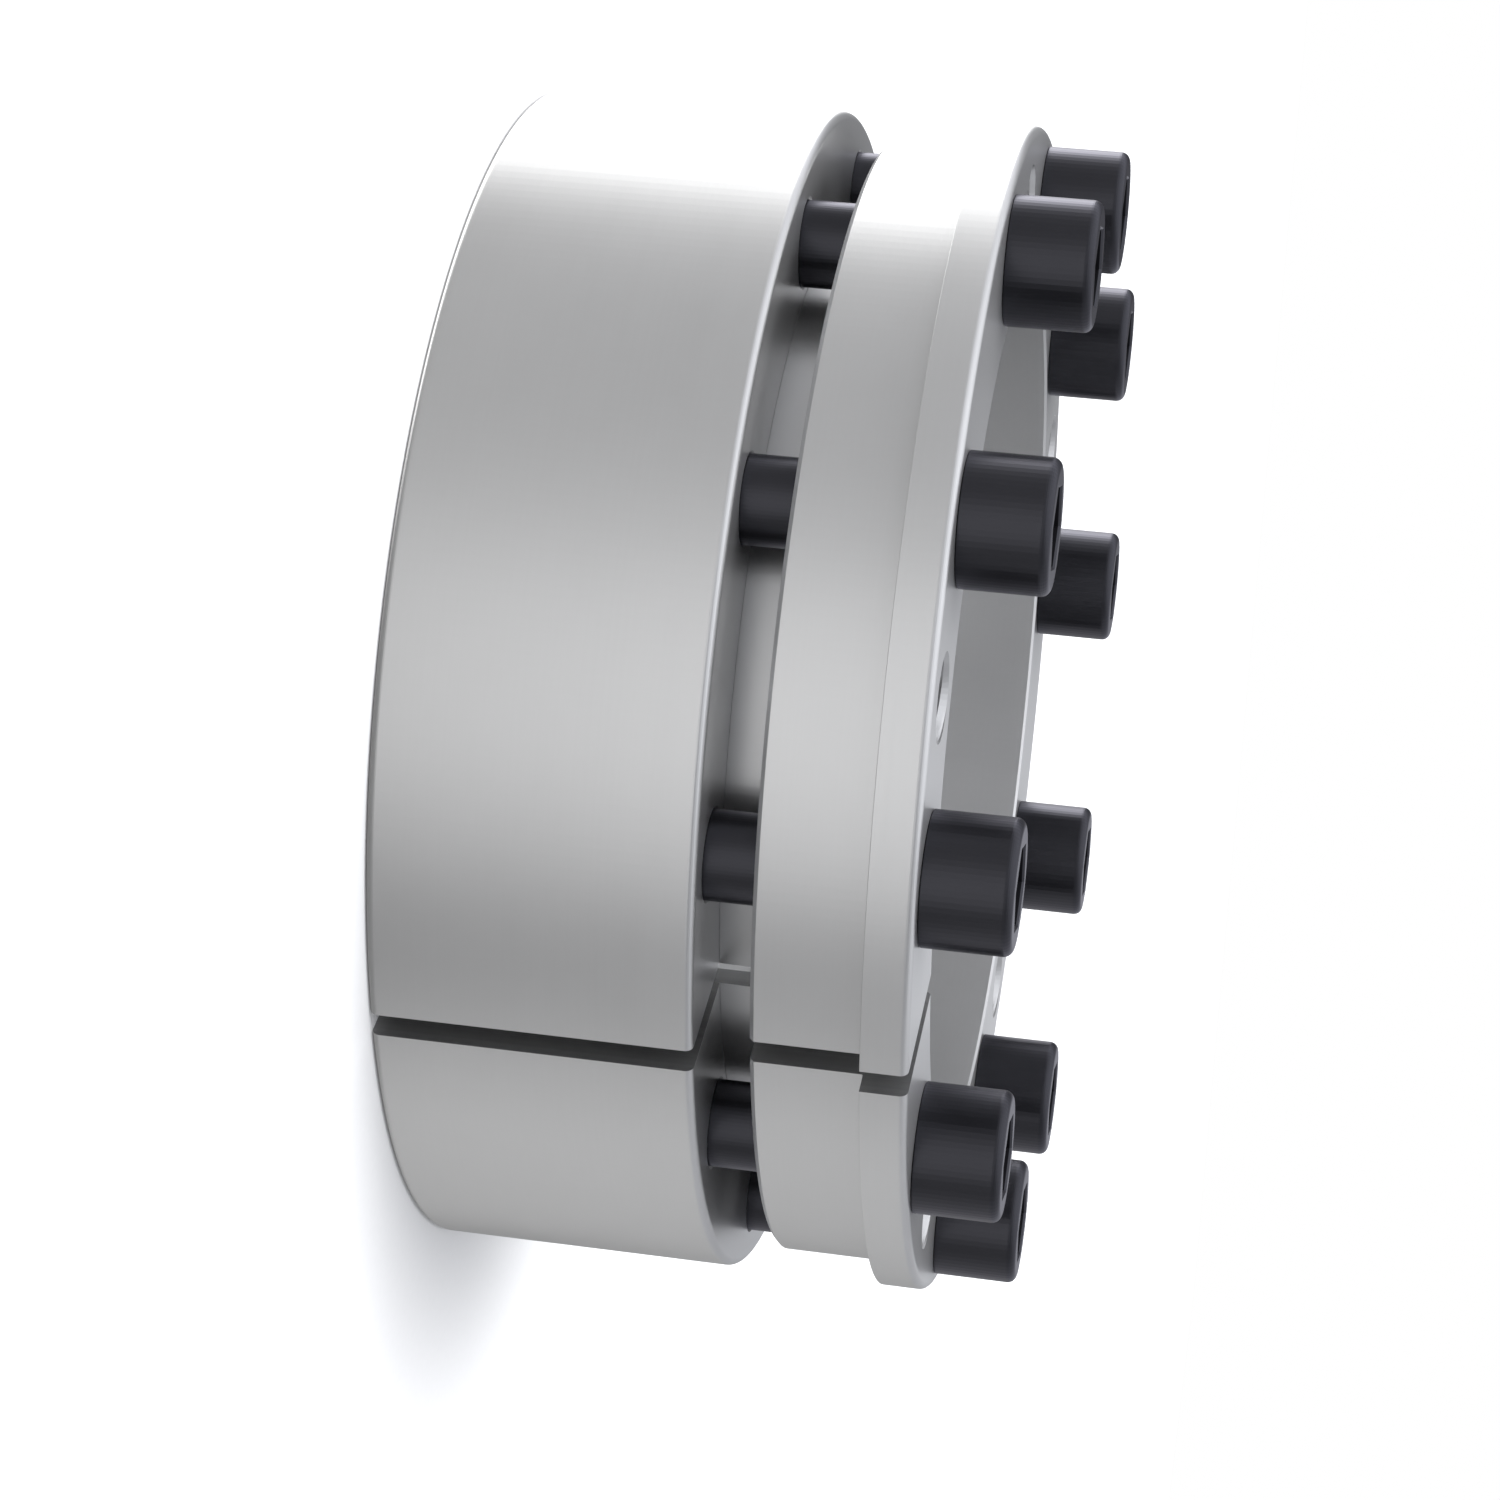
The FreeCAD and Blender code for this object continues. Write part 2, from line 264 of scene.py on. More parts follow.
def half_section(corners, closed=False):
    """Points of a section; a corner is (radius, height, rounding), all in millimetres."""
    points = []
    for index, (r, z, rounding) in enumerate(corners):
        corner = Vector((r, z))
        if rounding == 0:
            points.append(corner)
            continue
        back = (Vector(corners[index - 1][:2]) - corner).normalized()
        ahead = (Vector(corners[(index + 1) % len(corners)][:2]) - corner).normalized()
        half_angle = back.angle(ahead) / 2
        turn = math.pi - 2 * half_angle
        centre = corner + (back + ahead).normalized() * (rounding / math.sin(half_angle))
        start = corner + back * (rounding / math.tan(half_angle)) - centre
        end = corner + ahead * (rounding / math.tan(half_angle)) - centre
        points.append(centre + start + back * HOLD)
        for step in range(ARC_STEPS + 1):
            part = step / ARC_STEPS * turn
            spoke = (start * math.sin(turn - part) + end * math.sin(part)) / math.sin(turn)
            points.append(centre + spoke)
        points.append(centre + end + ahead * HOLD)
    if closed:
        points.append(points[0])
    return [(p.x, p.y, 0.0, 0.0) for p in points]


def section_object(name, rows):
    """Loose points that carry a section; rows are (radius, height, wind, hexagon)."""
    mesh = bpy.data.meshes.new(name)
    mesh.from_pydata([(r * MM, 0.0, z * MM) for r, z, *_ in rows], [], [])
    for column, attribute in ((2, "wind"), (3, "hexagon")):
        values = mesh.attributes.new(attribute, "FLOAT", "POINT")
        values.data.foreach_set("value", [row[column] for row in rows])
    return bpy.data.objects.new(name, mesh)


example = half_section([(0, 0, 0), (10, 0, 1), (10, 5, 0)])
print(f"a rounded corner becomes {len(example) - 2} points")

# %% [markdown]
# The lathe as a node tree
# A lathe is a rule: every point of the half section goes round the axis. The tree lays a grid
# with one row for each point of the section and one column for each step of the turn, and moves
# each grid point to its radius, angle and height.
# Two kinds of row do more. A winding row climbs by one pitch in a turn, so it joins the row one
# pitch above it: that is a screw thread. It is held between the two ends of the thread, where
# the groove runs out at one end and the tip is bevelled at the other. A hexagon row is pushed
# out to a six-sided outline: that is the wrench socket. Its corners fall on grid columns.

# %% Tree: turned blank
def new_tree(name, inputs):
    """Geometry tree with named inputs, and its input node."""
    tree = bpy.data.node_groups.new(name, "GeometryNodeTree")
    for title, kind in inputs:
        tree.interface.new_socket(title, in_out="INPUT", socket_type=f"NodeSocket{kind}")
    tree.interface.new_socket("Solid", in_out="OUTPUT", socket_type="NodeSocketGeometry")
    return tree, add_node(tree, "NodeGroupInput").outputs


THREAD_INPUTS = [
    ("Pitch", "Float"),
    ("Thread Start", "Float"),
    ("Thread End", "Float"),
    ("Run Out", "Float"),
    ("Root Radius", "Float"),
    ("Crest Radius", "Float"),
    ("Tip Radius", "Float"),
]
WELD = 1e-6
blank, given = new_tree("turned_blank", [("Section", "Object"), ("Columns", "Int")] + THREAD_INPUTS)

info = add_node(blank, "GeometryNodeObjectInfo", {"Object": given["Section"]})
section = info.outputs["Geometry"]
rows = add_node(blank, "GeometryNodeAttributeDomainSize", {0: section}).outputs["Point Count"]
across = add_node(blank, "FunctionNodeIntegerMath", {0: given["Columns"], 1: 1}, operation="ADD")
grid = add_node(blank, "GeometryNodeMeshGrid", {"Vertices X": across, "Vertices Y": rows})
index = add_node(blank, "GeometryNodeInputIndex")
column = add_node(blank, "FunctionNodeIntegerMath", {0: index, 1: rows}, operation="DIVIDE")
row = add_node(blank, "FunctionNodeIntegerMath", {0: index, 1: rows}, operation="MODULO")
turn = add_node(blank, "ShaderNodeMath", {0: column, 1: given["Columns"]}, operation="DIVIDE")
angle = add_node(blank, "ShaderNodeMath", {0: turn, 1: math.tau}, operation="MULTIPLY")
position = add_node(blank, "GeometryNodeInputPosition")
point = add_node(blank, "GeometryNodeSampleIndex",
                 {"Geometry": section, "Value": position, "Index": row},
                 data_type="FLOAT_VECTOR")
marks = {}
for attribute in ("wind", "hexagon"):
    named = add_node(blank, "GeometryNodeInputNamedAttribute", {"Name": attribute},
                     data_type="FLOAT")
    marks[attribute] = add_node(blank, "GeometryNodeSampleIndex",
                                {"Geometry": section, "Value": named, "Index": row},
                                data_type="FLOAT")
print(blank.name, "has", len(blank.nodes), "nodes so far")

# %% Wind the thread, push out the socket and set the points
parts = add_node(blank, "ShaderNodeSeparateXYZ", {0: point}).outputs
climbed = add_node(blank, "ShaderNodeMath", {0: turn, 1: given["Pitch"], 2: parts["Z"]},
                   operation="MULTIPLY_ADD")
held = add_node(blank, "ShaderNodeClamp",
                {0: climbed, 1: given["Thread Start"], 2: given["Thread End"]})
height = add_node(blank, "ShaderNodeMix", {0: marks["wind"], 2: parts["Z"], 3: held})
full_depth = add_node(blank, "ShaderNodeMath", {0: given["Thread End"], 1: given["Run Out"]},
                      operation="SUBTRACT")
rise = add_node(blank, "ShaderNodeMapRange", {
    "Value": height, "From Min": full_depth, "From Max": given["Thread End"],
    "To Min": given["Root Radius"], "To Max": given["Crest Radius"],
})
filled = add_node(blank, "ShaderNodeMath", {0: parts["X"], 1: rise}, operation="MAXIMUM")
above_tip = add_node(blank, "ShaderNodeMath", {0: height, 1: given["Thread Start"]},
                     operation="SUBTRACT")
bevel = add_node(blank, "ShaderNodeMath", {0: above_tip, 1: given["Tip Radius"]}, operation="ADD")
trimmed = add_node(blank, "ShaderNodeMath", {0: filled, 1: bevel}, operation="MINIMUM")
round_radius = add_node(blank, "ShaderNodeMix", {0: marks["wind"], 2: parts["X"], 3: trimmed})
off_flat = add_node(blank, "ShaderNodeMath", {0: angle, 1: math.pi / 6, 2: -math.pi / 6},
                    operation="WRAP")
shortening = add_node(blank, "ShaderNodeMath", {0: off_flat}, operation="COSINE")
widened = add_node(blank, "ShaderNodeMath", {0: round_radius, 1: shortening}, operation="DIVIDE")
radius = add_node(blank, "ShaderNodeMix", {0: marks["hexagon"], 2: round_radius, 3: widened})
spoke = add_node(blank, "ShaderNodeCombineXYZ", {"X": radius, "Z": height})
swung = add_node(blank, "ShaderNodeVectorRotate", {"Vector": spoke, "Angle": angle},
                 rotation_type="Z_AXIS")
turned = add_node(blank, "GeometryNodeSetPosition", {"Geometry": grid, "Position": swung})
welded = add_node(blank, "GeometryNodeMergeByDistance", {"Geometry": turned, "Distance": WELD})
add_node(blank, "NodeGroupOutput", {0: welded})
print(blank.name, "has", len(blank.nodes), "nodes")

# %% [markdown]
# Soft and sharp edges
# Smooth shading hides the steps of an arc, and would also blur the real corners. Marking each
# edge that bends by more than 30 degrees as sharp keeps both: arcs bend by 11 degrees a step.

# %% Finish a solid: crisp corners, real mesh, material
CRISP = math.radians(30.0)


def finish_tree(tree, solid, material, place=(0.0, 0.0, 0.0)):
    """Ends a tree with crisp corners, its place, a real mesh and its material."""
    bend = add_node(tree, "GeometryNodeInputMeshEdgeAngle").outputs["Unsigned Angle"]
    corner = add_node(tree, "ShaderNodeMath", {0: bend, 1: CRISP}, operation="GREATER_THAN")
    crisp = add_node(tree, "GeometryNodeSetShadeSmooth",
                     {0: solid, "Selection": corner, "Shade Smooth": False}, domain="EDGE")
    moved = add_node(tree, "GeometryNodeTransform", {"Geometry": crisp, "Translation": place})
    real = add_node(tree, "GeometryNodeRealizeInstances", {0: moved})
    dressed = add_node(tree, "GeometryNodeSetMaterial", {"Geometry": real, "Material": material})
    add_node(tree, "NodeGroupOutput", {0: dressed})


def run_tree(tree, name, values):
    """Plain mesh object that a tree makes from named values."""
    carrier = bpy.data.objects.new("carrier", bpy.data.meshes.new("carrier"))
    bpy.context.scene.collection.objects.link(carrier)
    modifier = carrier.modifiers.new("tree", "NODES")
    modifier.node_group = tree
    for socket in tree.interface.items_tree:
        if socket.in_out == "INPUT" and socket.name in values:
            modifier[socket.identifier] = values[socket.name]
    evaluated = carrier.evaluated_get(bpy.context.evaluated_depsgraph_get())
    mesh = bpy.data.meshes.new_from_object(evaluated)
    mesh.name = name
    piece = bpy.data.objects.new(name, mesh)
    bpy.context.scene.collection.objects.link(piece)
    carrier.modifiers.remove(modifier)
    bpy.data.objects.remove(carrier)
    mesh.calc_loop_triangles()
    print(f"{name}: {len(mesh.loop_triangles)} triangles")
    return piece


print(f"edges that bend by more than {math.degrees(CRISP):.0f} degrees stay crisp")

# %% [markdown]
# The cap screws
# A cap screw is forged: its head is upset from the bar, its six-sided socket is punched, and
# its thread is rolled between flat dies, which leaves the groove floor wide and rounded and the
# crest with a narrow flat. The long shank above the thread stays plain. It could be modelled by
# a stack of primitives or a screw modifier; a section with a few turns of the thread form is
# shorter, and the same tree then cuts the mating thread.

# %% Section of a cap screw
ROOT_RADIUS = 5.8
THREAD_END = 43.6
TIP_BEVEL = 1.3
TIP_RADIUS = SHANK_RADIUS - TIP_BEVEL
SHANK_HOLD = 8.0
HEAD_ROUNDING = 1.5
UNDERHEAD_BREAK = 0.2
TOP_FLAT = 1.6
SOCKET_BREAK = 0.35
SOCKET_HOLD = 0.25
DRILL_RADIUS = 5.2
DRILL_EDGE = 0.4
DRILL_TIP = 2.4
# Shares of the pitch and of the groove's depth, from the start of one crest to the next
THREAD_FORM = [(0.0, 0.0), (0.125, 0.0), (0.281, 0.5), (0.4375, 1.0), (0.6875, 1.0), (0.844, 0.5)]


def thread_rows(root, crest, start, end, shift=0.0):
    """Rows of a thread that runs a little past both ends, for the tree to hold between them."""
    first = math.floor(start / PITCH) - 1
    last = math.ceil(end / PITCH)
    rows = []
    for turn_number in range(first, last + 1):
        for share, depth in THREAD_FORM:
            z = (turn_number + share) * PITCH + shift
            rows.append((crest + (root - crest) * depth, z, 1.0, 0.0))
    return rows


half_flat = SOCKET_FLAT / 2
socket_floor = HEAD_TOP - SOCKET_DEPTH
socket_rows = [
    (half_flat + SOCKET_BREAK, HEAD_TOP, 0.0, 1.0),
    (half_flat, HEAD_TOP - SOCKET_BREAK, 0.0, 1.0),
    (half_flat, HEAD_TOP - SOCKET_BREAK - SOCKET_HOLD, 0.0, 1.0),
    (half_flat, socket_floor, 0.0, 1.0),
]
drill_point = [
    (DRILL_RADIUS, socket_floor - DRILL_EDGE, 0.0, 0.0),
    (0.0, socket_floor - DRILL_TIP, 0.0, 0.0),
]
head_rows = half_section([
    (SHANK_RADIUS, SEAT - SHANK_HOLD, 0),
    (SHANK_RADIUS, SEAT, 0),
    (HEAD_RADIUS - UNDERHEAD_BREAK, SEAT, 0),
    (HEAD_RADIUS, SEAT + UNDERHEAD_BREAK, 0),
    (HEAD_RADIUS, HEAD_TOP, HEAD_ROUNDING),
    (half_flat + TOP_FLAT, HEAD_TOP, 0),
])
screw_rows = [(0.0, TIP, 0.0, 0.0), (TIP_RADIUS, TIP, 0.0, 0.0)]
screw_rows += thread_rows(ROOT_RADIUS, SHANK_RADIUS, TIP, THREAD_END)
screw_rows += [(SHANK_RADIUS, THREAD_END, 0.0, 0.0)]
screw_rows += head_rows + socket_rows + drill_point
screw_section = section_object("cap_screw_section", screw_rows)
print(f"the cap screw's section has {len(screw_rows)} points")

# %% Tree: cap screw
screw_tree, given = new_tree("cap_screw", [
    ("Section", "Object"), ("Columns", "Int"), ("Place", "Vector"), ("Material", "Material"),
] + THREAD_INPUTS)
body = add_node(screw_tree, "GeometryNodeGroup", node_tree=blank)
for socket in body.inputs:
    screw_tree.links.new(given[socket.name], socket)
finish_tree(screw_tree, body, given["Material"], given["Place"])
print(screw_tree.name, "has", len(screw_tree.nodes), "nodes")

# %% Make the ten screws where their nodes stand
SCREW_COLUMNS = 72
for number in range(1, SCREW_COUNT + 1):
    node = f"clamp_screw_{number:02d}"
    low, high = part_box(node)
    centre = (Vector(low) + Vector(high)) / 2
    screw = run_tree(screw_tree, f"cap_screw_{number:02d}", {
        "Section": screw_section,
        "Columns": SCREW_COLUMNS,
        "Place": (centre.x, centre.y, 0.0),
        "Material": screw_steel,
        "Pitch": PITCH * MM,
        "Thread Start": TIP * MM,
        "Thread End": THREAD_END * MM,
        "Run Out": PITCH * MM,
        "Root Radius": ROOT_RADIUS * MM,
        "Crest Radius": SHANK_RADIUS * MM,
        "Tip Radius": TIP_RADIUS * MM,
    })
    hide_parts(node)
    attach(screw, node)

# %% [markdown]
# The two rings
# Each ring starts as a turned blank. Then it goes to the drill, which makes a circle of holes,
# each with its mouth countersunk, and last to the saw, which slits it through. The node tree
# keeps that order: the same lathe makes the blank and the drills, the drills are placed on a
# circle, and one Boolean takes drills and saw out of the blank.
# The drills aren't turned as they go round the circle, because the thread of each tapped hole
# has to meet the thread of its screw, and the screws aren't turned either.

# %% Tree: drilled and slit ring
ring_tree, given = new_tree("drilled_and_slit_ring", [
    ("Section", "Object"), ("Columns", "Int"), ("Circle Radius", "Float"),
    ("Drill", "Object"), ("Drill Columns", "Int"), ("Drill Count", "Int"), ("Drill Angle", "Float"),
    ("Second Drill", "Object"), ("Second Count", "Int"), ("Second Angle", "Float"),
    ("Saw Size", "Vector"), ("Saw Place", "Vector"), ("Material", "Material"),
] + THREAD_INPUTS)
disc = add_node(ring_tree, "GeometryNodeGroup",
                {"Section": given["Section"], "Columns": given["Columns"]}, node_tree=blank)
cutters = []
for drill, count, angle in (("Drill", "Drill Count", "Drill Angle"),
                            ("Second Drill", "Second Count", "Second Angle")):
    tool = add_node(ring_tree, "GeometryNodeGroup",
                    {"Section": given[drill], "Columns": given["Drill Columns"]}, node_tree=blank)
    for title, _ in THREAD_INPUTS:
        ring_tree.links.new(given[title], tool.inputs[title])
    circle = add_node(ring_tree, "GeometryNodeMeshCircle",
                      {"Vertices": given[count], "Radius": given["Circle Radius"]})
    aim = add_node(ring_tree, "ShaderNodeCombineXYZ", {"Z": given[angle]})
    placed = add_node(ring_tree, "GeometryNodeTransform", {"Geometry": circle, "Rotation": aim})
    cutters.append(add_node(ring_tree, "GeometryNodeInstanceOnPoints",
                            {"Points": placed, "Instance": tool}))
saw = add_node(ring_tree, "GeometryNodeMeshCube", {"Size": given["Saw Size"]})
cutters.append(add_node(ring_tree, "GeometryNodeTransform",
                        {"Geometry": saw, "Translation": given["Saw Place"]}))
machined = add_node(ring_tree, "GeometryNodeMeshBoolean", {"Mesh 1": disc},
                    operation="DIFFERENCE", solver="MANIFOLD")
for cutter in cutters:
    ring_tree.links.new(cutter.outputs[0], machined.inputs["Mesh 2"])
finish_tree(ring_tree, machined, given["Material"])
print(ring_tree.name, "has", len(ring_tree.nodes), "nodes")

# %% Settings that both rings share
RING_COLUMNS = 360
DRILL_COLUMNS = 48
SAW_OVERRUN = 10.0
SAW_PAST_ENDS = 2.0


def ring_values(bottom, top):
    """Inputs of the ring tree that both rings share, with a saw that clears their heights."""
    reach = HUB_RADIUS + SAW_OVERRUN
    height = top - bottom + 2 * SAW_PAST_ENDS
    return {
        "Columns": RING_COLUMNS,
        "Circle Radius": SCREW_CIRCLE * MM,
        "Drill Columns": DRILL_COLUMNS,
        "Drill Count": SCREW_COUNT,
        "Drill Angle": FIRST_SCREW,
        "Saw Size": (reach * MM, SLIT_WIDTH * MM, height * MM),
        "Saw Place": (reach / 2 * MM, 0.0, (top + bottom) / 2 * MM),
        "Material": ring_steel,
        "Pitch": PITCH * MM,
    }


print(f"the saw cuts {SLIT_WIDTH:.0f} mm wide")

# %% [markdown]
# Outer ring
# A plain cylinder outside, ground to fit the hub bore, and a slow cone inside with its wide end
# towards the flange. Its corners are well rounded so that it slides into the hub. The ten holes
# are tapped for the screws. Only the last turns of their threads can be seen, from behind, past
# the screw tips; further in the screws fill the holes, so the thread is cut 17 mm deep and the
# rest is left at its full width.

# %% Sections of the outer ring and its drills
OUTER_ROUNDING = 1.3
CONE_BREAK = 0.1
cone_throat = CONE_MOUTH - OUTER_FACE * CONE_SLOPE
outer_section = section_object("outer_ring_section", half_section([
    (HUB_RADIUS, 0.0, OUTER_ROUNDING),
    (HUB_RADIUS, OUTER_FACE, OUTER_ROUNDING),
    (CONE_MOUTH + CONE_BREAK, OUTER_FACE, 0),
    (CONE_MOUTH - CONE_BREAK * CONE_SLOPE, OUTER_FACE - CONE_BREAK, 0),
    (cone_throat + CONE_BREAK * CONE_SLOPE, CONE_BREAK, 0),
    (cone_throat + CONE_BREAK, 0.0, 0),
], closed=True))

# A cutter reaches this far past the face that it goes through
PAST_FACE = 1.0
THREAD_PLAY = 0.05
TIP_STEP = 0.2
TAP_ROOT = 5.95
TAP_CREST = SHANK_RADIUS + THREAD_PLAY
TAP_TIP = TAP_ROOT - TIP_STEP
TAP_START = -2.0
TAP_END = 17.0
MOUTH_BREAK = 0.4
tap_rows = [(0.0, TAP_START, 0.0, 0.0), (TAP_TIP, TAP_START, 0.0, 0.0)]
tap_rows += thread_rows(TAP_ROOT, TAP_CREST, TAP_START, TAP_END)
tap_rows += [
    (TAP_CREST, TAP_END, 0.0, 0.0),
    (TAP_CREST, OUTER_FACE - MOUTH_BREAK, 0.0, 0.0),
    (TAP_CREST + MOUTH_BREAK + PAST_FACE, OUTER_FACE + PAST_FACE, 0.0, 0.0),
    (0.0, OUTER_FACE + PAST_FACE, 0.0, 0.0),
]
tap = section_object("tap_section", tap_rows)
SINK_END = 2.0
sink_radius = TAP_CREST + MOUTH_BREAK
countersink = section_object("countersink_section", [
    (0.0, -PAST_FACE, 0.0, 0.0),
    (sink_radius + PAST_FACE, -PAST_FACE, 0.0, 0.0),
    (sink_radius - SINK_END, SINK_END, 0.0, 0.0),
    (0.0, SINK_END, 0.0, 0.0),
])
print(f"each tapped hole is countersunk to {2 * sink_radius:.1f} mm behind")

# %% Machine the outer ring
outer = run_tree(ring_tree, "turned_outer_ring", ring_values(0.0, OUTER_FACE) | {
    "Section": outer_section,
    "Drill": tap,
    "Second Drill": countersink,
    "Second Count": SCREW_COUNT,
    "Second Angle": FIRST_SCREW,
    "Thread Start": TAP_START * MM,
    "Thread End": TAP_END * MM,
    "Run Out": PITCH * MM,
    "Root Radius": TAP_ROOT * MM,
    "Crest Radius": TAP_CREST * MM,
    "Tip Radius": TAP_TIP * MM,
})
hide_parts("outer_ring")
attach(outer, "outer_ring")

# %% [markdown]
# Inner ring
# A thin sleeve with the mating cone outside, in one piece with a thick flange. The flange steps
# up from a neck, which may enter the hub bore, to a rim under the screw heads that stops against
# the hub. It has ten clearance holes and, at every other gap between them, a tapped jacking hole
# for the screws that push the rings apart again, countersunk at 60 degrees to the width of
# its thread. The bore gets a small chamfer for the shaft.

# %% Section of the inner ring
RIM_ROUNDING = 1.3
NECK_CHAMFER = 0.7
BORE_CHAMFER = 0.45
FOOT_FILLET = 0.4
STEP_FILLET = 0.2
RIM_BREAK = 0.1


def sleeve_radius(z):
    """Radius of the sleeve's cone at a height."""
    return CONE_MOUTH - CONE_PLAY + (z - OUTER_FACE) * CONE_SLOPE


inner_section = section_object("inner_ring_section", half_section([
    (sleeve_radius(SLEEVE_END) - CONE_BREAK, SLEEVE_END, 0),
    (sleeve_radius(SLEEVE_END), SLEEVE_END + CONE_BREAK, 0),
    (sleeve_radius(FLANGE_REAR), FLANGE_REAR, FOOT_FILLET),
    (NECK_RADIUS - NECK_CHAMFER, FLANGE_REAR, 0),
    (NECK_RADIUS, FLANGE_REAR + NECK_CHAMFER, 0),
    (NECK_RADIUS, RIM_REAR, STEP_FILLET),
    (HUB_RADIUS, RIM_REAR, RIM_BREAK),
    (HUB_RADIUS, SEAT, RIM_ROUNDING),
    (SHAFT_RADIUS + BORE_CHAMFER, SEAT, 0),
    (SHAFT_RADIUS, SEAT - BORE_CHAMFER, 0),
    (SHAFT_RADIUS, SLEEVE_END + CONE_BREAK, 0),
    (SHAFT_RADIUS + CONE_BREAK, SLEEVE_END, 0),
], closed=True))

print(f"the sleeve is {sleeve_radius(SLEEVE_END) - SHAFT_RADIUS:.2f} mm thick at its end")

# %% Sections of the drills for the inner ring
CLEARANCE_MOUTH = 0.2
mouth_radius = CLEARANCE_RADIUS + CLEARANCE_MOUTH
clearance_drill = section_object("clearance_drill_section", [
    (0.0, FLANGE_REAR - PAST_FACE, 0.0, 0.0),
    (mouth_radius + PAST_FACE, FLANGE_REAR - PAST_FACE, 0.0, 0.0),
    (CLEARANCE_RADIUS, FLANGE_REAR + CLEARANCE_MOUTH, 0.0, 0.0),
    (CLEARANCE_RADIUS, SEAT - CLEARANCE_MOUTH, 0.0, 0.0),
    (mouth_radius + PAST_FACE, SEAT + PAST_FACE, 0.0, 0.0),
    (0.0, SEAT + PAST_FACE, 0.0, 0.0),
])

JACK_CREST = SHANK_RADIUS + THREAD_PLAY
JACK_TIP = JACK_RADIUS - TIP_STEP
JACK_START = FLANGE_REAR - 3.0
# Half of the countersink's 60 degrees
SINK_SLOPE = math.radians(30.0)
JACK_SINK = (JACK_CREST - JACK_RADIUS) / math.tan(SINK_SLOPE)
# Raises the thread by part of a pitch, which keeps the countersink clean on the picture's side
JACK_LEAD = 0.85
jack_rows = [(0.0, JACK_START, 0.0, 0.0), (JACK_TIP, JACK_START, 0.0, 0.0)]
jack_rows += thread_rows(JACK_RADIUS, JACK_CREST, JACK_START, SEAT, JACK_LEAD)
jack_rows += [
    (JACK_CREST, SEAT, 0.0, 0.0),
    (JACK_CREST, SEAT + PAST_FACE, 0.0, 0.0),
    (0.0, SEAT + PAST_FACE, 0.0, 0.0),
]
jack_tap = section_object("jack_tap_section", jack_rows)
print(f"the jacking tap's section has {len(jack_rows)} points")

# %% Machine the inner ring
inner = run_tree(ring_tree, "turned_inner_ring", ring_values(SLEEVE_END, SEAT) | {
    "Section": inner_section,
    "Drill": clearance_drill,
    "Second Drill": jack_tap,
    "Second Count": SCREW_COUNT // 2,
    "Second Angle": FIRST_JACK,
    "Thread Start": JACK_START * MM,
    "Thread End": SEAT * MM,
    "Run Out": JACK_SINK * MM,
    "Root Radius": JACK_RADIUS * MM,
    "Crest Radius": JACK_CREST * MM,
    "Tip Radius": JACK_TIP * MM,
})
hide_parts("inner_ring")
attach(inner, "inner_ring")

# %% [markdown]
# Floor
# A pale matt floor under the part, plain, so that nothing takes the eye off the steel. The wide
# floor isn't seen in reflections, which come from the studio walls instead. Only a disc under
# the part is, so that the slits and holes stay dark where they end on it.

# %% Matt white floor
FLOOR_SIZE = 12.0
FLOOR_DROP = 0.05 * MM
DISC_DROP = 0.02 * MM
DISC_SIDES = 96
FIBRE = 1.5 * MM
paper, tree = new_material("matt_white_paper")
place = add_node(tree, "ShaderNodeTexCoord").outputs["Object"]
fibre = add_node(tree, "ShaderNodeTexNoise", {"Vector": place, "Scale": 1 / FIBRE, "Detail": 2.0})
colour = add_node(tree, "ShaderNodeMix",
                  {0: fibre, 6: linear("#f6f6f6"), 7: linear("#fafafa")}, data_type="RGBA")
shader = add_node(tree, "ShaderNodeBsdfPrincipled",
                  {"Base Color": colour, "Roughness": 0.9, "Specular IOR Level": 0.1})
add_node(tree, "ShaderNodeOutputMaterial", {"Surface": shader})


def floor_piece(name, outline, height):
    """Flat piece of floor that isn't part of the object."""
    mesh = bpy.data.meshes.new(name)
    mesh.from_pydata([(x, y, height) for x, y in outline], [], [tuple(range(len(outline)))])
    mesh.materials.append(paper)
    piece = bpy.data.objects.new(name, mesh)
    bpy.context.scene.collection.objects.link(piece)
    return piece


half_floor = FLOOR_SIZE / 2
square = [(-half_floor, -half_floor), (half_floor, -half_floor),
          (half_floor, half_floor), (-half_floor, half_floor)]
wide_floor = floor_piece("wide_floor", square, -FLOOR_DROP)
wide_floor.visible_glossy = False
disc_radius = (HUB_RADIUS - 1.0) * MM
steps = [math.tau * step / DISC_SIDES for step in range(DISC_SIDES)]
disc = [(disc_radius * math.cos(t), disc_radius * math.sin(t)) for t in steps]
floor_piece("disc_under_part", disc, -DISC_DROP)
print(f"the floor is {FLOOR_SIZE:.0f} m wide")

# %% [markdown]
# Studio walls
# Metal shows what stands round it, so the studio is designed as a reflection first. Low walls
# give the cylinders their gloss: a bright panel at the back, softer ones at the front and at one
# side, and dim gaps between them. At eye level the panels at the back and the front are brighter.
# The flat faces look over them at upper walls of a nearly even grey, with one brighter panel at
# the back and a dark gap beside it. The roundings look up at a wide panel overhead or down at the
# dark bench. The world holds each row of walls as a curve over the compass angle round the part,
# and blends the rows by height. The camera itself sees plain white.

